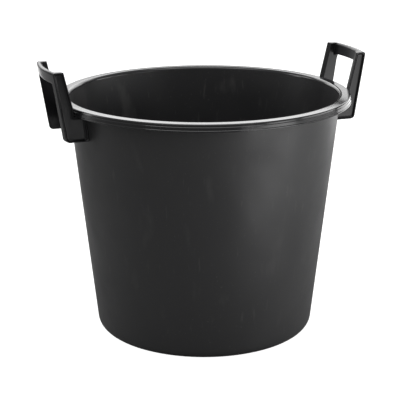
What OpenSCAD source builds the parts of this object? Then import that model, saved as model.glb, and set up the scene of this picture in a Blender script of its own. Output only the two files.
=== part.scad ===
// Mortar mixing tub: a round tapered tub with a rolled rim and two upright carrying
// handles. The handles stand on the X axis. The origin is the centre of the foot.

/* [Tub] */
// Height of the tub, from the ground to the top of the rim
tub_h = 430; // [320:5:520]
// Outside radius of the wall at the level of the rim's top
top_r = 241; // [200:1:280]
// Outside radius at which the line of the wall meets the ground
base_r = 194.6; // [160:0.2:230]
// Thickness of the wall
wall_t = 3; // [2:0.1:5]
// Thickness of the floor
floor_t = 4; // [3:0.1:6]
// Outside radius of the bend between the wall and the floor
bend_r = 18; // [10:0.5:26]

/* [Foot] */
// Height of the foot ring, which is also how far the floor stands off the ground
foot_h = 3; // [1.5:0.1:5]
// Width of the foot ring's flat face
foot_w = 12; // [6:0.5:20]
// Number of stiffening ribs under the floor
rib_n = 8; // [4:1:16]
// Width of a stiffening rib
rib_w = 4; // [2:0.5:8]
// Height of a stiffening rib, less than the foot ring's
rib_h = 1.2; // [0.5:0.1:1.4]
// Radius of the boss at the middle of the underside
boss_r = 30; // [15:1:45]

/* [Rim] */
// How far the rim stands out from the wall
rim_w = 18.2; // [15:0.2:26]
// Thickness of the rim's flange
rim_t = 3; // [2:0.1:4]
// Radius of the rim's rounded inner edge
lip_r = 6; // [4:0.1:8]
// How far the rim's top falls from its inner to its outer edge
rim_fall = 0.6; // [0:0.1:2]
// Radius of the shoulder between the rim's top and its skirt
shoulder_r = 2.5; // [1:0.1:4]
// Depth of the skirt that hangs from the rim, from the top of the rim
skirt_d = 13.5; // [11:0.1:20]
// Thickness of the skirt at its lower edge
skirt_t = 2.8; // [2:0.1:4]
// How far each of the skirt's two lines stands out
line_out = 0.8; // [0.2:0.1:1]
// Depth of the upper line below the top of the rim
line_1_d = 5; // [4:0.1:7]
// Depth of the lower line below the top of the rim
line_2_d = 10.5; // [8:0.1:13]
// How far the bead inside the skirt's lower edge stands in
bead_in = 1.5; // [0.5:0.1:3]
// Height of that bead
bead_h = 2.2; // [1:0.1:4]

/* [Handles] */
// Width of a handle, across its two legs
handle_w = 121; // [100:1:160]
// Thickness of a leg, along the handle's width
leg_w = 12; // [9:0.5:18]
// Height of the handles above the rim
rise = 62; // [50:1:80]
// How far the legs reach down from the top of the rim
drop = 58; // [40:1:80]
// How far the handles stand out from the skirt, at the level of the rim's top
stand_out = 23.4; // [18:0.2:34]
// Lean of the handles' outer face, outwards from upright
lean = 8.9; // [4:0.1:12]
// Depth of a leg at its top, from its inner edge to its outer face
leg_top_d = 17.8; // [14:0.1:24]
// Thickness of the leg's web, which is on the side of the hand opening
web_t = 8.5; // [2:0.1:10]
// Thickness of the flange round the leg's web
flange_t = 2.6; // [2:0.1:4]
// Height of the grip bar
grip_h = 20; // [16:0.5:26]
// Thickness of the grip bar
grip_t = 9; // [7:0.1:14]
// Radius of the handles' upper outer and the grip bar's upper inner edge
top_edge_r = 4; // [2:0.5:4]
// Radius of the legs' lower outer corners
toe_r = 8; // [3:0.5:12]

/* [Fit] */
// Clearance between a handle's legs and the wall
wall_gap = 0.3; // [0.1:0.1:1]
// Clearance between a handle's plate and the wall
plate_gap = 0.5; // [0.2:0.1:1.5]
// Clearance between a handle and the rim's skirt
skirt_gap = 0.6; // [0.2:0.1:1.5]
// Thickness of the plate that bears on the wall between a handle's legs
plate_t = 3; // [2:0.1:4]
// How far that plate's lower edge stands above the legs' lower ends
plate_up = 6; // [2:0.5:15]
// Height of the plate's shelf, which bears under the rim's flange
shelf_h = 4; // [3:0.1:5]
// Clearance between the shelf and the inside of the skirt
shelf_gap = 0.4; // [0.2:0.1:1]

/* [Hidden] */
$fn = 180;

// Colours
shell_black = [0.13, 0.13, 0.14];
handle_black = [0.20, 0.20, 0.22];

// Amount by which a cut runs past the face that it opens
past = 1;
// Largest turn, in degrees, that one straight stretch of a rounded corner takes
corner_step = 15;

// The tub
wall_slope = (top_r - base_r) / tub_h;
wall_thick_r = wall_t * sqrt(1 + wall_slope * wall_slope);
floor_top = foot_h + floor_t;
bend_in_r = bend_r - wall_t;
foot_out_r = base_r + wall_slope * bend_r - bend_r * sqrt(1 + wall_slope * wall_slope);
foot_in_r = foot_out_r - foot_w;

// The rim
skirt_r = top_r + rim_w;
skirt_in_r = skirt_r - skirt_t;
skirt_z = tub_h - skirt_d;
flange_z = tub_h - rim_t;
// Radius of the bend between the wall's outside and the flange's underside
lip_in_r = lip_r - rim_t;

// The handles
outer_r = skirt_r + stand_out;
lean_slope = tan(lean);
top_z = tub_h + rise;
toe_z = tub_h - drop;
seat_r = skirt_r + skirt_gap;
seat_z = skirt_z - skirt_gap;
knee_z = tub_h - shoulder_r;
half_w = handle_w / 2;
window_half = half_w - leg_w;
grip_z = top_z - grip_h;
shelf_r = skirt_in_r - shelf_gap;
shelf_z = flange_z - shelf_h;
shelf_edge = 1.5;
plate_z = toe_z + plate_up;
// Half the turn about the tub's axis that takes in a whole handle
handle_turn = asin(half_w / skirt_r) + 6;

// Radius of the wall's outside and of its inside, at height z
function wall_r(z) = base_r + wall_slope * z;
function bore_r(z) = wall_r(z) - wall_thick_r;
// Radius of the handles' outer face, at height z
function face_r(z) = outer_r + lean_slope * (z - tub_h);
// Radius of the legs' inner edge above the rim, at height z
function edge_r(z) = seat_r + (face_r(top_z) - leg_top_d - seat_r) * (z - knee_z) / (top_z - knee_z);

function unit(v) = v / norm(v);
function turn(a) = a > 180 ? a - 360 : a < -180 ? a + 360 : a;

// The arc of radius r that rounds the corner at b, between the sides to a and c
function corner_arc(a, b, c, r) =
    let (
        u = unit(a - b),
        w = unit(c - b),
        half = acos(u * w) / 2,
        centre = b + unit(u + w) * r / sin(half),
        from = b + u * r / tan(half) - centre,
        to = b + w * r / tan(half) - centre,
        start = atan2(from.y, from.x),
        sweep = turn(atan2(to.y, to.x) - start),
        steps = max(2, ceil(abs(sweep) / corner_step))
    )
    [for (k = [0 : steps]) centre + r * [cos(start + sweep * k / steps), sin(start + sweep * k / steps)]];

// An outline from corners given as [radius, height, rounding]
function rounded(corners) =
    let (n = len(corners), xy = [for (c = corners) [c.x, c.y]])
    [for (i = [0 : n - 1])
        each (corners[i].z == 0 ? [xy[i]] : corner_arc(xy[(i + n - 1) % n], xy[i], xy[(i + 1) % n], corners[i].z))];

// Section of the tub, from the axis out under the floor, up the wall and round the rim
shell_outline = rounded([
    [0, foot_h, 0],
    [foot_in_r, foot_h, 0],
    [foot_in_r, 0, 0],
    [base_r, 0, bend_r],
    [wall_r(flange_z), flange_z, lip_in_r],
    [skirt_in_r, flange_z, 1.5],
    [skirt_in_r, skirt_z + bead_h + bead_in, 0],
    [skirt_in_r - bead_in, skirt_z + bead_h, 0],
    [skirt_in_r - bead_in, skirt_z, 0],
    [skirt_r, skirt_z, 0.8],
    [skirt_r, tub_h - line_2_d - line_out, 0],
    [skirt_r - line_out, tub_h - line_2_d, 0],
    [skirt_r - line_out, tub_h - line_1_d - line_out, 0],
    [skirt_r - 2 * line_out, tub_h - line_1_d, 0],
    [skirt_r - 2 * line_out, tub_h - rim_fall, shoulder_r],
    [bore_r(tub_h), tub_h, lip_r],
    [bore_r(floor_top), floor_top, bend_in_r],
    [0, floor_top, 0],
]);

// Side of a leg: its toe, its outer face, its top, its inner edge and its seat below the skirt
leg_outline = rounded([
    [wall_r(toe_z) + wall_gap, toe_z, 1.5],
    [face_r(toe_z), toe_z, toe_r],
    [face_r(top_z), top_z, top_edge_r],
    [edge_r(top_z), top_z, 1],
    [seat_r, knee_z, 0],
    [seat_r, seat_z, 0],
    [wall_r(seat_z) + wall_gap, seat_z, 1],
]);

// Side of the hollow in a leg, a flange's thickness inside the leg's own outline
pocket_outline = rounded([
    [wall_r(toe_z + flange_t) + wall_gap + flange_t, toe_z + flange_t, 5],
    [face_r(toe_z + flange_t) - flange_t, toe_z + flange_t, toe_r - flange_t],
    [face_r(top_z - flange_t) - flange_t, top_z - flange_t, 2.5],
    [edge_r(top_z - flange_t) + flange_t, top_z - flange_t, 2],
    [seat_r + flange_t, knee_z, 0],
    [seat_r + flange_t, seat_z - flange_t, 3],
    [wall_r(seat_z - flange_t) + wall_gap + flange_t, seat_z - flange_t, 4],
]);

// The upper inner edge of the grip bar, from the bar's inner face to its top
grip_edge = corner_arc(
    [face_r(grip_z) - grip_t, grip_z],
    [face_r(top_z) - grip_t, top_z],
    [face_r(top_z), top_z],
    top_edge_r
);

// Section of the space between the legs: below the grip bar, and on its inner side
gap_outline = concat(
    [
        [wall_r(toe_z) - past, toe_z - past],
        [face_r(top_z) + past, toe_z - past],
        [face_r(top_z) + past, grip_z],
        [face_r(grip_z) - grip_t, grip_z],
    ],
    grip_edge,
    [
        [grip_edge[len(grip_edge) - 1].x, top_z + past],
        [wall_r(toe_z) - past, top_z + past],
    ]
);

// Section of the plate on the wall, with the shelf that hooks in under the rim
plate_outline = [
    [wall_r(plate_z) + plate_gap, plate_z],
    [wall_r(plate_z) + plate_gap + plate_t, plate_z],
    [wall_r(shelf_z) + plate_gap + plate_t, shelf_z],
    [shelf_r, shelf_z],
    [shelf_r, flange_z - shelf_edge],
    [shelf_r - shelf_edge, flange_z],
    [wall_r(flange_z) + lip_in_r + plate_gap, flange_z],
    [wall_r(flange_z - lip_in_r) + plate_gap, flange_z - lip_in_r],
];

// An outline turned about the tub's axis, only as far round as a handle reaches
module around(outline) {
    rotate([0, 0, -handle_turn]) rotate_extrude(angle = 2 * handle_turn) polygon(outline);
}

// The space between two upright planes across the handle, at y = from and y = to
module between(from, to) {
    translate([0, from, 0]) cube([face_r(top_z) + past, to - from, top_z + past]);
}

// One handle, standing on the +X side of the tub
module handle() {
    difference() {
        intersection() { around(leg_outline); between(-half_w, half_w); }
        intersection() { around(gap_outline); between(-window_half, window_half); }
        for (side = [0, 1]) mirror([0, side, 0])
            intersection() { around(pocket_outline); between(window_half + web_t, half_w + past); }
    }
    intersection() { around(plate_outline); between(-window_half - web_t / 2, window_half + web_t / 2); }
}

module tub_shell() {
    color(shell_black) union() {
        rotate_extrude() polygon(shell_outline);
        difference() {
            for (i = [0 : rib_n - 1]) rotate([0, 0, (i + 0.5) * 360 / rib_n])
                translate([0, -rib_w / 2, foot_h - rib_h]) cube([foot_in_r + past, rib_w, rib_h + floor_t / 2]);
            cylinder(h = foot_h, r = boss_r - past);
        }
        translate([0, 0, foot_h - rib_h]) cylinder(h = rib_h + floor_t / 2, r = boss_r);
    }
}

module handle_left() {
    color(handle_black) rotate([0, 0, 180]) handle();
}

module handle_right() {
    color(handle_black) handle();
}

tub_shell();
handle_left();
handle_right();
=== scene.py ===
# %% [markdown]
# # A mortar mixing tub
#
# A builder's mortar tub is a round, tapered bucket of black plastic, a little wider than
# it is high, with a stepped rim rolled over at the top and two open handles that stand up
# from opposite sides. The tub comes out of one mould and each handle out of another, so
# the lesson makes three pieces: the tub, the left handle and the right handle.
#
# The measured model is loaded first and stays as it is. Every piece made here takes its
# place from it, in metres, with the tub's axis as the Z axis and the ground at zero.

# %% Load the measured model
import math

import bmesh
import bpy
from mathutils import Euler, Matrix, Vector


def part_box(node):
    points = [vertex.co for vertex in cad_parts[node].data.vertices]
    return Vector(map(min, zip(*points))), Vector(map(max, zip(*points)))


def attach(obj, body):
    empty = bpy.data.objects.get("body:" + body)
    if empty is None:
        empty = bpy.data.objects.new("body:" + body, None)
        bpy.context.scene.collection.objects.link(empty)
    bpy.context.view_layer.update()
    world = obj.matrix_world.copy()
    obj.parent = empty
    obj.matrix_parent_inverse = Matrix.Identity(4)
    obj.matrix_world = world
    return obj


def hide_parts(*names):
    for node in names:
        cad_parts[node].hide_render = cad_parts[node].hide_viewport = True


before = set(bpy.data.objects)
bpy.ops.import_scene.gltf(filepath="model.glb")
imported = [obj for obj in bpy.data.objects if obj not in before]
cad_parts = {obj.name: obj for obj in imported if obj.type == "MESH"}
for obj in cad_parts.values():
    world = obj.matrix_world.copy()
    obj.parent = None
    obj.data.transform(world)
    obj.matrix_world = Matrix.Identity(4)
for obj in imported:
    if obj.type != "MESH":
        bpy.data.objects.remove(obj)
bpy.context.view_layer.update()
MM = 0.001
tub_low, tub_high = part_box("tub_shell")
grip_low, grip_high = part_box("handle_right")
print("tub, highest corner:", tub_high, " right handle:", grip_low, grip_high)

# %% [markdown]
# ## Working as by hand
#
# Each step below is an edit that a person could make with the mouse: pick some corners,
# edges or faces, then extrude, bevel, spin or bisect them. In a script the picking is done
# by place, so one small helper selects whatever passes a test and drops the rest. Mistakes
# in such a script are nearly always a pick that took nothing or too much, so the helper
# checks how many it took.

# %% Pick by place
bpy.ops.object.select_all(action="DESELECT")


def pick(kind, test, expected=None):
    """Selects the verts, edges or faces of the open mesh that pass the test, and no others."""
    bpy.ops.mesh.select_mode(type={"verts": "VERT", "edges": "EDGE", "faces": "FACE"}[kind])
    bpy.ops.mesh.select_all(action="DESELECT")
    mesh = bmesh.from_edit_mesh(bpy.context.edit_object.data)
    taken = [part for part in getattr(mesh, kind) if test(part)]
    for part in taken:
        part.select_set(True)
    mesh.select_flush_mode()
    bmesh.update_edit_mesh(bpy.context.edit_object.data)
    if expected is not None and len(taken) != expected:
        raise ValueError(f"picked {len(taken)} {kind}, not {expected}")
    return len(taken)


def near(a, b, slack=0.05 * MM):
    """True when two lengths or two points are the same, to a twentieth of a millimetre."""
    if isinstance(a, float):
        return abs(a - b) < slack
    return (Vector(a) - Vector(b)).length < slack


def middle(edge):
    return (edge.verts[0].co + edge.verts[1].co) / 2


# %% [markdown]
# ## Drawing a section
#
# Moulded plastic is easiest to think of as a section: the outline a saw would show. A
# section is drawn here in the XZ plane, from a plane merged to one point and extruded from
# corner to corner. Each corner is given as radius, height and rounding. A rounding is a
# vertex bevel, and the bevel's offset is how far back from the corner the arc begins, which
# is the arc's radius times the tangent of half the turn.

# %% A section, drawn point by point and rounded
def arc_steps(turn):
    """Enough steps for a smooth arc: one for each 11 degrees, and at least two."""
    return max(2, math.ceil(math.degrees(turn) / 11))


def draw_section(name, corners, closed=True):
    """Draws the outline through corners of (radius, height, rounding), left open for edits."""
    points = [Vector((r, 0, z)) for r, z, _ in corners]
    bpy.ops.mesh.primitive_plane_add(size=MM, location=points[0])
    piece = bpy.context.object
    piece.name = name
    bpy.ops.object.transform_apply(location=True)
    bpy.ops.object.mode_set(mode="EDIT")
    bpy.ops.mesh.select_mode(type="VERT")
    bpy.ops.mesh.select_all(action="SELECT")
    bpy.ops.mesh.merge(type="CENTER")
    for here, there in zip(points, points[1:]):
        bpy.ops.mesh.extrude_vertices_move(TRANSFORM_OT_translate={"value": there - here})
    if closed:
        pick("verts", lambda v: near(v.co, points[0]) or near(v.co, points[-1]), 2)
        bpy.ops.mesh.edge_face_add()
    count = len(points)
    for i, (_, _, rounding) in enumerate(corners):
        if rounding:
            back = (points[i - 1] - points[i]).normalized()
            on = (points[(i + 1) % count] - points[i]).normalized()
            turn = math.pi - back.angle(on)
            pick("verts", lambda v: near(v.co, points[i]), 1)
            bpy.ops.mesh.bevel(affect="VERTICES", offset=rounding * math.tan(turn / 2),
                               segments=arc_steps(turn), profile=0.5, clamp_overlap=False)
    return piece


def close_edit(piece):
    """Merges doubles, turns the faces outwards and leaves edit mode."""
    bpy.ops.mesh.select_all(action="SELECT")
    bpy.ops.mesh.remove_doubles(threshold=0.001 * MM)
    bpy.ops.mesh.normals_make_consistent(inside=False)
    bpy.ops.object.mode_set(mode="OBJECT")
    print(piece.name, len(piece.data.vertices), "points,", len(piece.data.polygons), "faces")


# %% [markdown]
# ## The tub's wall
#
# The wall leans out as it rises, so that tubs nest in a stack and drop out of the mould.
# Its slope comes from two radii, one on the ground and one at the rim's top. The plastic is
# about 3 mm thick, a little more in the floor, and the foot is a narrow ring that keeps the
# floor just off the ground.

# %% The wall's line
tub_top = 430 * MM
top_radius = 241 * MM
base_radius = 194.6 * MM
wall_slope = (top_radius - base_radius) / tub_top
wall_across = 3 * MM * math.sqrt(1 + wall_slope ** 2)


def wall_radius(z):
    return base_radius + wall_slope * z


foot_height = 3 * MM
floor_top = foot_height + 4 * MM
bend_radius = 18 * MM
foot_width = 12 * MM
boss_radius = 30 * MM
boss_height = 1.4 * MM
tangent_back = bend_radius * (math.sqrt(1 + wall_slope ** 2) - wall_slope)
foot_inner = base_radius - tangent_back - foot_width
print("wall radius halfway up:", round(wall_radius(tub_top / 2), 4), "foot ring from", round(foot_inner, 4))

# %% [markdown]
# ## The rim
#
# The rim is what gives a tub its strength. The wall turns outwards into a flange with a
# well rounded inner edge, and a skirt hangs from the flange. Two fine steps run round the
# skirt. They are a fraction of a millimetre deep, but on glossy plastic they show as two
# bright lines, so they are modelled, not painted. Every radius is measured back from the
# rim's widest circle, which the measured model gives.

# %% The rim's sizes
rim_radius = tub_high.x
flange_under = tub_top - 3 * MM
skirt_inner = rim_radius - 2.8 * MM
skirt_bottom = tub_top - 13.5 * MM
bead_in = 1.5 * MM
bead_height = 2.2 * MM
line_out = 0.8 * MM
upper_line = tub_top - 5 * MM
lower_line = tub_top - 10.5 * MM
rim_fall = 0.6 * MM
lip_radius = 6 * MM
shoulder_radius = 2.5 * MM
print("rim radius", round(rim_radius, 4), "skirt depth", round(tub_top - skirt_bottom, 4))

# %% [markdown]
# ## Turning the tub
#
# The whole tub is one closed section, from the axis out under the floor, up the outside,
# round the rim, down the inside and back to the axis. Spinning it through a full turn and
# merging the doubles gives a closed shell with a true wall thickness, which looks right at
# the lip, where a single sheet never does.

# %% Draw the tub's section and spin it
spin_steps = 288
tub_section = [
    (0, foot_height - boss_height, 0),
    (boss_radius, foot_height - boss_height, 0.5 * MM),
    (boss_radius, foot_height, 0.5 * MM),
    (foot_inner, foot_height, 0.6 * MM),
    (foot_inner, 0, 0.6 * MM),
    (base_radius, 0, bend_radius),
    (wall_radius(flange_under), flange_under, lip_radius - 3 * MM),
    (skirt_inner, flange_under, 1.5 * MM),
    (skirt_inner, skirt_bottom + bead_height + bead_in, 0.5 * MM),
    (skirt_inner - bead_in, skirt_bottom + bead_height, 0.5 * MM),
    (skirt_inner - bead_in, skirt_bottom, 0.5 * MM),
    (rim_radius, skirt_bottom, 0.8 * MM),
    (rim_radius, lower_line - line_out, 0.35 * MM),
    (rim_radius - line_out, lower_line, 0.25 * MM),
    (rim_radius - line_out, upper_line - line_out, 0.35 * MM),
    (rim_radius - 2 * line_out, upper_line, 0.25 * MM),
    (rim_radius - 2 * line_out, tub_top - rim_fall, shoulder_radius),
    (wall_radius(tub_top) - wall_across, tub_top, lip_radius),
    (wall_radius(floor_top) - wall_across, floor_top, bend_radius - 3 * MM),
    (0, floor_top, 0),
]
tub = draw_section("tub", tub_section, closed=False)
bpy.ops.mesh.select_all(action="SELECT")
bpy.ops.mesh.spin(steps=spin_steps, angle=math.tau, center=(0, 0, 0), axis=(0, 0, 1))
close_edit(tub)

# %% [markdown]
# ## Under the floor
#
# A wide floor of thin plastic would drum and sag, so ribs like spokes stiffen it from
# below, between the round boss in the middle and the foot ring. They stand less proud than
# the ring, so only the ring meets the ground. Each rib is a bar with its edges eased, sunk
# a little into the floor and joined by a Boolean, so that the tub stays one closed surface.

# %% Add the ribs
rib_height = 1.2 * MM
rib_width = 4 * MM
rib_count = 8
sunk = 1.5 * MM
rib_start = boss_radius - 3 * MM
rib_end = foot_inner + 1 * MM


def join_solid(piece, other, operation="UNION", solver="EXACT"):
    """Joins another closed solid to a piece, or cuts it away, and removes the other one."""
    boolean = piece.modifiers.new("join", "BOOLEAN")
    boolean.object = other
    boolean.operation = operation
    boolean.solver = solver
    bpy.context.view_layer.objects.active = piece
    bpy.ops.object.modifier_apply(modifier=boolean.name)
    bpy.data.objects.remove(other)


def ease_edges(piece, width, segments=2, angle=35):
    """Bevels every sharp edge of a piece, as the mould's own edges are eased."""
    bevel = piece.modifiers.new("eased", "BEVEL")
    bevel.width = width
    bevel.segments = segments
    bevel.limit_method = "ANGLE"
    bevel.angle_limit = math.radians(angle)
    bevel.use_clamp_overlap = False
    bpy.context.view_layer.objects.active = piece
    bpy.ops.object.modifier_apply(modifier=bevel.name)


for k in range(rib_count):
    turn = (k + 0.5) * math.tau / rib_count
    out = (rib_start + rib_end) / 2
    place = (out * math.cos(turn), out * math.sin(turn), foot_height + (sunk - rib_height) / 2)
    bpy.ops.mesh.primitive_cube_add(size=1, location=place, rotation=(0, 0, turn),
                                    scale=(rib_end - rib_start, rib_width, sunk + rib_height))
    rib = bpy.context.object
    bpy.ops.object.transform_apply(location=True, rotation=True, scale=True)
    ease_edges(rib, 0.4 * MM)
    join_solid(tub, rib)
print("tub with its ribs:", len(tub.data.polygons), "faces")

# %% [markdown]
# ## A handle's leg
#
# Each handle is two upright legs, a grip bar across their tops and a plate behind the rim.
# A leg is a shallow channel: a web on the side of the hand opening with a flange all round
# it, open to the outside. That is how a moulder gets stiffness without a thick lump that would
# sink as it cools.
#
# The handle is modelled flat first, with X as the distance from the tub's axis, and bent
# to the tub's curve at the end, because flat parts are far easier to pick and bevel.

# %% The handle's sizes
handle_top = grip_high.z
handle_toe = grip_low.z
half_width = grip_high.y
leg_width = 12 * MM
inner_half = half_width - leg_width
web = 8.5 * MM
flange = 2.6 * MM
lean = math.tan(math.radians(8.9))
outer_radius = rim_radius + 23.4 * MM
leg_depth_top = 17.8 * MM
seat_radius = rim_radius + 0.6 * MM
seat_height = skirt_bottom - 0.6 * MM
knee_height = tub_top - shoulder_radius
wall_gap = 0.3 * MM


def face_radius(z):
    return outer_radius + lean * (z - tub_top)


def edge_radius(z):
    """The leg's inner edge above the rim, at height z."""
    top = face_radius(handle_top) - leg_depth_top
    return seat_radius + (top - seat_radius) * (z - knee_height) / (handle_top - knee_height)


leg_corners = [
    (wall_radius(handle_toe) + wall_gap, handle_toe, 1.5 * MM),
    (face_radius(handle_toe), handle_toe, 8 * MM),
    (face_radius(handle_top), handle_top, 4 * MM),
    (edge_radius(handle_top), handle_top, 1 * MM),
    (seat_radius, knee_height, 3 * MM),
    (seat_radius, seat_height, 0),
    (wall_radius(seat_height) + wall_gap, seat_height, 1 * MM),
]
floor_line = handle_toe + flange
ceiling_line = handle_top - flange
shelf_line = seat_height - flange
hollow_corners = [
    (wall_radius(floor_line) + wall_gap + flange, floor_line, 5 * MM),
    (face_radius(floor_line) - flange, floor_line, 5.4 * MM),
    (face_radius(ceiling_line) - flange, ceiling_line, 4.4 * MM),
    (edge_radius(ceiling_line) + flange, ceiling_line, 4.4 * MM),
    (seat_radius + flange, knee_height, 3 * MM),
    (seat_radius + flange, shelf_line, 3 * MM),
    (wall_radius(shelf_line) + wall_gap + flange, shelf_line, 4.4 * MM),
]
print("leg stands", round((leg_corners[1][0] - leg_corners[0][0]) / MM, 1), "mm out at its toe")

# %% [markdown]
# ## Shaping the leg
#
# The leg's outline is filled and extruded to its width, which makes a solid blank. The
# hollow is drawn a flange's thickness inside the outline, extruded from the web outwards,
# softened at its bottom edge, and cut away. A moulded hollow always has that soft fillet
# round its floor, and it is what catches the light.

# %% Extrude the leg and cut its hollow
def extrude_section(name, corners, start, end, steps=1):
    """A solid of the given section from y = start to y = end, left in edit mode."""
    piece = draw_section(name, corners)
    bpy.ops.mesh.select_all(action="SELECT")
    bpy.ops.mesh.edge_face_add()
    bpy.ops.transform.translate(value=(0, start, 0))
    for _ in range(steps):
        bpy.ops.mesh.extrude_region_move(TRANSFORM_OT_translate={"value": (0, (end - start) / steps, 0)})
    bpy.ops.mesh.select_all(action="SELECT")
    bpy.ops.mesh.normals_make_consistent(inside=False)
    return piece


def lies_at(part, y):
    """True when every corner of an edge or face has this y."""
    return all(near(v.co.y, y) for v in part.verts)


handle = extrude_section("right_handle", leg_corners, inner_half, half_width)
bpy.ops.object.mode_set(mode="OBJECT")
hollow_fillet = 3.2 * MM
hollow = extrude_section("hollow", hollow_corners, inner_half + web, half_width + 2 * MM)
pick("edges", lambda e: lies_at(e, inner_half + web))
bpy.ops.mesh.bevel(offset=hollow_fillet, segments=6, profile=0.5, affect="EDGES", clamp_overlap=False)
bpy.ops.object.mode_set(mode="OBJECT")
join_solid(handle, hollow, "DIFFERENCE")
print("leg:", len(handle.data.polygons), "faces")

# %% [markdown]
# ## The second leg and the grip bar
#
# The second leg is the first one mirrored. The bar's section is marked on each leg's inner
# side by two bisecting planes, one level, at the bar's underside, and one along the bar's
# inner face. The two marked faces are bridged, with enough cuts that the bar can be bent to
# the tub's curve, and the bar's own edges are rounded so that it is kind to the hand.

# %% Mirror the leg and bridge the bar
grip_under = handle_top - 20 * MM
grip_depth = 9 * MM
bar_cuts = 15
bar_edge = 4 * MM
soft_edge = 2.2 * MM

bpy.context.view_layer.objects.active = handle
bpy.ops.object.mode_set(mode="EDIT")
pick("faces", lambda f: lies_at(f, inner_half), 1)
bpy.ops.mesh.bisect(plane_co=(0, 0, grip_under), plane_no=(0, 0, 1))
pick("faces", lambda f: lies_at(f, inner_half) and f.calc_center_median().z > grip_under, 1)
bpy.ops.mesh.bisect(plane_co=(face_radius(grip_under) - grip_depth, 0, grip_under), plane_no=(1, 0, -lean))
bpy.ops.object.mode_set(mode="OBJECT")
mirror = handle.modifiers.new("other_leg", "MIRROR")
mirror.use_axis = (False, True, False)
mirror.use_mirror_merge = False
bpy.ops.object.modifier_apply(modifier=mirror.name)

bpy.ops.object.mode_set(mode="EDIT")


def bar_end(face):
    """True for the face on a leg's inner side that the bar grows from."""
    centre = face.calc_center_median()
    bar_line = face_radius(centre.z) - grip_depth
    return near(abs(centre.y), inner_half) and centre.z > grip_under and centre.x > bar_line


pick("faces", bar_end, 2)
bpy.ops.mesh.bridge_edge_loops(number_cuts=bar_cuts)
print("both legs and the bar:", len(bmesh.from_edit_mesh(handle.data).faces), "faces")

# %% [markdown]
# ## Edges for the hand
#
# The corners between the bar and the legs get a fillet first, so that the edge round the
# hand opening becomes one smooth line. That whole line is then rounded, more than the rest
# of the moulding, since fingers bear on it, and so is the upper inner edge of the bar.

# %% Round the hand opening
corner_fillet = 4 * MM


def across_bar(edge):
    """True for an edge of the bar that runs from leg to leg."""
    way = edge.verts[1].co - edge.verts[0].co
    return abs(way.y) > 0.9 * way.length and abs(middle(edge).y) < inner_half


def bends(edge, least=0.6):
    """True for an edge whose two faces meet at an angle of at least so many radians."""
    return edge.is_manifold and edge.calc_face_angle() > least


def bar_corner(edge):
    """True for the two inner corners where the bar's underside meets the legs."""
    on_side = all(near(abs(v.co.y), inner_half) for v in edge.verts)
    level = all(near(v.co.z, grip_under) for v in edge.verts)
    in_bar = middle(edge).x > face_radius(grip_under) - grip_depth
    return on_side and level and in_bar and bends(edge)


def opening_edge(edge):
    """True for the edges round the hand opening, on the handle's outer face."""
    outer = all(near(v.co.x, face_radius(v.co.z)) for v in edge.verts)
    round_opening = all(abs(v.co.y) < inner_half + 0.1 * MM and v.co.z < grip_under + 5 * MM for v in edge.verts)
    return outer and round_opening and bends(edge)


def bar_top_edge(edge):
    spot = (face_radius(handle_top) - grip_depth, handle_top)
    return across_bar(edge) and near(Vector((middle(edge).x, middle(edge).z)), spot)


def round_edges(test, radius, steps):
    """Rounds square edges to a radius, and says how many it took."""
    count = pick("edges", test)
    bpy.ops.mesh.bevel(offset=radius, segments=steps, profile=0.5, affect="EDGES", clamp_overlap=False)
    return count


print("bar corners:", round_edges(bar_corner, corner_fillet, 6))
print("edges round the opening:", round_edges(opening_edge, soft_edge, 4))
print("edges along the bar's top:", round_edges(bar_top_edge, bar_edge, 6))
bpy.ops.object.mode_set(mode="OBJECT")
ease_edges(handle, 1.1 * MM, segments=3)
print("handle with its edges eased:", len(handle.data.polygons), "faces")

# %% [markdown]
# ## The plate behind the rim
#
# Between the legs a thin plate lies against the tub's wall, and a shelf along its top
# hooks up into the channel under the rim, so that the tub's weight hangs on the whole
# width of the handle. The plate is drawn as a section, extruded from leg to leg in short
# steps, and joined to the legs by a Boolean, with its ends sunk in their webs. The two
# solids cross at very shallow angles there, so both are cut into triangles first, and the
# solver that always gives a closed surface is used.

# %% Add the plate and its shelf
plate_gap = 0.5 * MM
plate_thick = 3 * MM
plate_bottom = handle_toe + 6 * MM
shelf_bottom = flange_under - 4 * MM
shelf_radius = skirt_inner - 0.4 * MM
shelf_edge = 1.5 * MM
lip_inner = lip_radius - 3 * MM
plate_half = inner_half + web / 2
plate_corners = [
    (wall_radius(plate_bottom) + plate_gap, plate_bottom, 0.8 * MM),
    (wall_radius(plate_bottom) + plate_gap + plate_thick, plate_bottom, 0.8 * MM),
    (wall_radius(shelf_bottom) + plate_gap + plate_thick, shelf_bottom, 2 * MM),
    (shelf_radius, shelf_bottom, 0.5 * MM),
    (shelf_radius, flange_under - shelf_edge, 0),
    (shelf_radius - shelf_edge, flange_under, 0),
    (wall_radius(flange_under) + lip_inner + plate_gap, flange_under, 0),
    (wall_radius(flange_under - lip_inner) + plate_gap, flange_under - lip_inner, 0),
]
plate = extrude_section("plate", plate_corners, -plate_half, plate_half, steps=bar_cuts + 1)
bpy.ops.object.mode_set(mode="OBJECT")
for solid in (handle, plate):
    triangles = solid.modifiers.new("triangles", "TRIANGULATE")
    bpy.context.view_layer.objects.active = solid
    bpy.ops.object.modifier_apply(modifier=triangles.name)
join_solid(handle, plate, solver="MANIFOLD")
print("handle with its plate:", len(handle.data.polygons), "faces")

# %% [markdown]
# ## Bending the handle to the tub
#
# So far the handle is straight. On the real tub its outer face follows the rim, while its
# two legs stay parallel so that it draws from the mould. Moving each point in towards the
# axis until it lies at its own radius does just that: Y and Z stay, and X shrinks.

# %% Bend the handle round the axis and copy it to the other side
for point in handle.data.vertices:
    point.co.x = math.sqrt(point.co.x ** 2 - point.co.y ** 2)


def select_only(piece):
    bpy.ops.object.select_all(action="DESELECT")
    piece.select_set(True)
    bpy.context.view_layer.objects.active = piece


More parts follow.
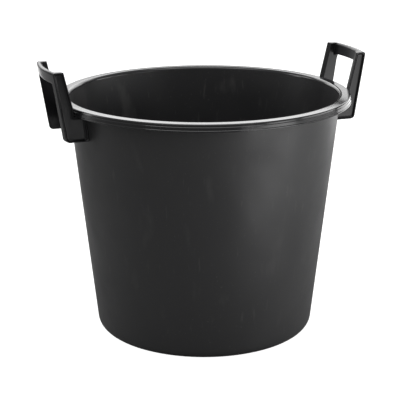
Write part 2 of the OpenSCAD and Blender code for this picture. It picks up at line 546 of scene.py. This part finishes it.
def smooth(piece, angle=38):
    """Smooth shading up to an angle, with the large faces left flat between their rounded edges."""
    select_only(piece)
    bpy.ops.object.shade_smooth_by_angle(angle=math.radians(angle))
    weighted = piece.modifiers.new("weighted", "WEIGHTED_NORMAL")
    weighted.keep_sharp = True
    bpy.ops.object.modifier_apply(modifier=weighted.name)


smooth(handle)
smooth(tub)
select_only(handle)
bpy.ops.object.duplicate()
other_handle = bpy.context.object
other_handle.name = "left_handle"
bpy.ops.transform.rotate(value=math.pi, orient_axis="Z", center_override=(0, 0, 0))
bpy.ops.object.transform_apply(location=True, rotation=True)
print("handles:", handle.name, other_handle.name, len(handle.data.polygons), "faces each")

# %% [markdown]
# ## The plastics
#
# All three pieces are black plastic, and black plastic is nearly all reflection, so what
# tells one finish from another is its gloss. The tub's wall comes off a lightly blasted
# mould: satin, with a fine grain and faint clouds where the melt flowed. The rim and the
# handles come off polished steel and are glossier. Handling leaves scuffs, which are dull
# and a shade greyer, and a little dry dust stays on the inside. The inside is also given a
# darker grey than the outside of the same moulding. That is painted shade, for the shade
# that falls inside the tub.
#
# One function makes each finish from the same few parts: a fine grain for the bump, clouds
# for the roughness, and stretched, thresholded noise for the scuffs.

# %% A plastic finish made of grain, clouds and scuffs
def link_chain(tree, *pairs):
    for output, target in pairs:
        tree.links.new(output, target)


def noise(tree, coordinates, scale, detail=3.0, stretch=(1, 1, 1)):
    """Noise on the piece's own coordinates, with so many lumps to the metre, stretched along an axis."""
    mapping = tree.nodes.new("ShaderNodeMapping")
    mapping.inputs["Scale"].default_value = stretch
    texture = tree.nodes.new("ShaderNodeTexNoise")
    texture.inputs["Scale"].default_value = scale
    texture.inputs["Detail"].default_value = detail
    link_chain(tree, (coordinates, mapping.inputs["Vector"]), (mapping.outputs["Vector"], texture.inputs["Vector"]))
    return texture.outputs["Fac"]


def remap(tree, value, low, high, to_low, to_high):
    """Carries a value from one range to another and holds it there."""
    node = tree.nodes.new("ShaderNodeMapRange")
    for name, number in (("From Min", low), ("From Max", high), ("To Min", to_low), ("To Max", to_high)):
        node.inputs[name].default_value = number
    tree.links.new(value, node.inputs["Value"])
    return node.outputs["Result"]


def add(tree, a, b, operation="ADD"):
    node = tree.nodes.new("ShaderNodeMath")
    node.operation = operation
    link_chain(tree, (a, node.inputs[0]), (b, node.inputs[1]))
    return node.outputs["Value"]


def black_plastic(name, colour, dust_colour, gloss, shine, grain_height, scuff_amount, dust_amount, seed):
    """A black moulded plastic. gloss is the least and the greatest roughness of the clean surface."""
    material = bpy.data.materials.new(name)
    material.use_nodes = True
    tree = material.node_tree
    shader = tree.nodes["Principled BSDF"]
    shader.inputs["Specular IOR Level"].default_value = shine
    place = tree.nodes.new("ShaderNodeTexCoord").outputs["Object"]
    shift = tree.nodes.new("ShaderNodeVectorMath")
    shift.inputs[1].default_value = (seed, seed, seed)
    tree.links.new(place, shift.inputs[0])
    here = shift.outputs["Vector"]

    clouds = noise(tree, here, 9, 4)
    clean = remap(tree, clouds, 0.3, 0.7, *gloss)
    scratches = remap(tree, noise(tree, here, 140, 2, (1, 1, 0.12)), 0.66, 0.74, 0, scuff_amount)
    rubs = remap(tree, noise(tree, here, 26, 5, (1, 1, 0.4)), 0.6, 0.72, 0, scuff_amount)
    scuffs = add(tree, scratches, rubs, "MAXIMUM")
    specks = remap(tree, noise(tree, here, 330, 1), 0.7, 0.76, 0, dust_amount)
    film = remap(tree, noise(tree, here, 5, 6), 0.5, 0.8, 0, dust_amount * 0.35)
    dust = add(tree, add(tree, specks, film, "MAXIMUM"), scuffs, "MAXIMUM")
    tree.links.new(add(tree, clean, add(tree, dust, remap(tree, scuffs, 0, 1, 0.3, 0.3), "MULTIPLY")),
                   shader.inputs["Roughness"])

    blend = tree.nodes.new("ShaderNodeMix")
    blend.data_type = "RGBA"
    blend.inputs["A"].default_value = (*colour, 1)
    blend.inputs["B"].default_value = (*dust_colour, 1)
    link_chain(tree, (dust, blend.inputs["Factor"]), (blend.outputs["Result"], shader.inputs["Base Color"]))

    grain = noise(tree, here, 1400, 2)
    ripple = noise(tree, here, 34, 2, (1, 1, 0.35))
    fine = tree.nodes.new("ShaderNodeBump")
    fine.inputs["Distance"].default_value = grain_height
    broad = tree.nodes.new("ShaderNodeBump")
    broad.inputs["Distance"].default_value = 0.12 * MM
    broad.inputs["Strength"].default_value = 0.5
    link_chain(tree, (ripple, broad.inputs["Height"]), (grain, fine.inputs["Height"]),
               (broad.outputs["Normal"], fine.inputs["Normal"]), (fine.outputs["Normal"], shader.inputs["Normal"]))
    return material


soot = (0.010, 0.010, 0.011)
dark_grey = (0.034, 0.034, 0.035)
# painted shade: the inside of the tub gets this darker grey than the outer wall, though it is the same plastic
painted_shade_grey = (0.014, 0.014, 0.015)
pale_dust = (0.16, 0.155, 0.15)
satin_black = black_plastic("satin_black_wall", dark_grey, pale_dust, (0.34, 0.56), 0.34, 0.035 * MM, 0.10, 0.14, 0.0)
# the inside's finish: real dust and scuffs, on a darker base colour that is painted shade
inner_black_with_painted_shade = black_plastic("satin_black_inside_painted_shade", painted_shade_grey, pale_dust, (0.36, 0.48), 0.5, 0.03 * MM, 0.16, 0.22, 3.1)
rim_black = black_plastic("gloss_black_rim", soot, pale_dust, (0.09, 0.14), 0.5, 0.006 * MM, 0.06, 0.03, 5.7)
handle_black = black_plastic("semi_gloss_black_handle", soot, pale_dust, (0.16, 0.24), 0.32, 0.012 * MM, 0.10, 0.04, 8.3)
print("finishes:", [m.name for m in bpy.data.materials])

# %% [markdown]
# ## Which faces get which finish
#
# The tub is one moulding with three finishes, so its faces are picked by place and given
# their material in edit mode: the rim outside the wall's line and over the lip, the inside
# below the lip, whose finish is darkened by painted shade, and everything else.

# %% Give the faces their finishes
def is_rim(face):
    centre = face.calc_center_median()
    across = math.hypot(centre.x, centre.y)
    over_lip = centre.z > tub_top - lip_radius
    outside = centre.z > skirt_bottom - 1 * MM and across > wall_radius(centre.z) + 0.2 * MM
    return over_lip or outside


def is_inside(face):
    centre = face.calc_center_median()
    across = math.hypot(centre.x, centre.y)
    within_wall = across < wall_radius(centre.z) - wall_across / 2
    return centre.z > floor_top - 0.5 * MM and within_wall and not is_rim(face)


for material in (satin_black, inner_black_with_painted_shade, rim_black):
    tub.data.materials.append(material)
bpy.context.view_layer.objects.active = tub
bpy.ops.object.mode_set(mode="EDIT")
for number, test in ((1, is_inside), (2, is_rim)):
    print(tub.data.materials[number].name, pick("faces", test), "faces")
    tub.active_material_index = number
    bpy.ops.object.material_slot_assign()
bpy.ops.object.mode_set(mode="OBJECT")
for piece in (handle, other_handle):
    piece.data.materials.clear()
    piece.data.materials.append(handle_black)

# %% [markdown]
# ## Fastening the pieces to the model
#
# Nothing on a mortar tub moves, so all three pieces ride on the one body. Each stands for
# the plain solid of the same part.

# %% Ride and replace
for piece, node, finish in (
    (tub, "tub_shell", "tub_plastic"),
    (handle, "handle_right", "handle_plastic"),
    (other_handle, "handle_left", "handle_plastic"),
):
    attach(piece, "root")
    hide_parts(node)

# %% [markdown]
# ## The studio
#
# Black plastic shows its surroundings, so what stands round the tub matters more than what
# shines on it. The camera sees a plain white floor and room, while the plastic mirrors much
# darker ones, and a Light Path node tells the two kinds of ray apart. A long bright panel
# behind the tub makes the rim's top nearly white, because polished plastic reflects
# strongly at a shallow angle. Panels on the right give the wall its broad sheen, a bright
# patch of floor carries that sheen further down, and one panel overhead picks out the
# rim's fine steps.

# %% The floor and the room
bpy.ops.mesh.primitive_plane_add(size=60, location=(0, 0, -0.0002))
floor = bpy.context.object
floor.name = "floor"
floor_finish = bpy.data.materials.new("white_floor")
floor_finish.use_nodes = True
floor_shader = floor_finish.node_tree.nodes["Principled BSDF"]
floor_shader.inputs["Base Color"].default_value = (0.3, 0.3, 0.3, 1)
floor_shader.inputs["Roughness"].default_value = 0.9
floor_shader.inputs["Emission Color"].default_value = (1, 1, 1, 1)
floor.data.materials.append(floor_finish)
seen_floor = floor_finish.node_tree.nodes.new("ShaderNodeLightPath").outputs["Is Camera Ray"]
glow = remap(floor_finish.node_tree, seen_floor, 0, 1, 0.02, 1.0)
floor_finish.node_tree.links.new(glow, floor_shader.inputs["Emission Strength"])

world = bpy.data.worlds.new("room")
bpy.context.scene.world = world
world.use_nodes = True
room = world.node_tree
room_light = room.nodes["Background"]
room_light.inputs["Color"].default_value = (1, 1, 1, 1)
seen = room.nodes.new("ShaderNodeLightPath").outputs["Is Camera Ray"]
sky = room.nodes.new("ShaderNodeSeparateXYZ")
room.links.new(room.nodes.new("ShaderNodeTexCoord").outputs["Generated"], sky.inputs["Vector"])
walls = remap(room, sky.outputs["Z"], 0.0, 0.5, 0.22, 0.5)
room.links.new(add(room, walls, seen, "MAXIMUM"), room_light.inputs["Strength"])

# %% [markdown]
# ## Camera and light panels
#
# The camera stands a little above the rim, turned a fifth of a quarter off the handles'
# line, so that one handle shows its outer side and the other its inner side. The panels
# are placed by their bearing from that line of sight. Most are aimed at the tub, and the two
# that stand for bright floor lie on it and face upwards.

# %% The camera
camera_turn = math.radians(20.19)
camera_away = 2.1842
camera_height = 0.8811
look_down = math.radians(16.62)
heading = math.radians(19.99)
lens_camera = bpy.data.cameras.new("camera")
lens_camera.lens = 113.06
camera = bpy.data.objects.new("camera", lens_camera)
bpy.context.scene.collection.objects.link(camera)
camera.location = (-camera_away * math.sin(camera_turn), -camera_away * math.cos(camera_turn), camera_height)
camera_roll = math.radians(-0.153)
aimed = Euler((math.pi / 2 - look_down, 0, -heading)).to_matrix() @ Matrix.Rotation(camera_roll, 3, "Z")
camera.rotation_euler = aimed.to_euler()
bpy.context.scene.camera = camera
bpy.context.scene.view_settings.view_transform = "Standard"

# %% The light panels
aim = Vector((0, 0, 0.3))
upward = Vector((0, 0, 1))


def panel(name, bearing, away, height, width, tall, radiance, way):
    """A soft light panel facing the given way, or the tub. Bearing is in degrees from straight
    behind the tub, to the right."""
    turn = heading + math.radians(bearing)
    light = bpy.data.lights.new(name, "AREA")
    light.shape = "RECTANGLE"
    light.size = width
    light.size_y = tall
    light.energy = radiance * math.pi * width * tall
    lamp = bpy.data.objects.new(name, light)
    bpy.context.scene.collection.objects.link(lamp)
    lamp.location = (away * math.sin(turn), away * math.cos(turn), height)
    lamp.rotation_euler = (way or aim - lamp.location).to_track_quat("-Z", "Y").to_euler()
    lamp.visible_camera = False
    return lamp


for name, bearing, away, height, width, tall, radiance, way in (
    ("back_wall_low", 0, 3.2, 0.46, 6.0, 0.9, 0.3, None),
    ("back_panel_low", 0, 3.2, 1.1, 6.0, 0.4, 1.3, None),
    ("back_panel_middle", 0, 3.2, 1.6, 6.0, 0.6, 2.6, None),
    ("back_panel_high", 0, 3.2, 2.5, 5.0, 1.1, 2.4, None),
    ("right_panel", 86, 2.2, 0.45, 1.5, 0.9, 4.0, None),
    ("right_low_panel", 45, 1.3, 0.2, 0.9, 0.34, 1.8, None),
    ("right_front_panel", 122, 2.2, 0.4, 0.9, 0.8, 2.0, None),
    ("left_high_panel", -75, 2.4, 1.7, 1.4, 0.8, 3.0, None),
    ("left_strip", -85, 2.2, 0.5, 0.3, 1.2, 3.0, None),
    ("top_panel", 180, 0.4, 2.4, 2.2, 1.4, 2.2, None),
    ("right_floor", 126, 1.5, 0.01, 1.3, 1.3, 3.0, upward),
    ("back_floor", 0, 3.1, 0.01, 3.0, 3.0, 1.2, upward),
):
    panel(name, bearing, away, height, width, tall, radiance, way)
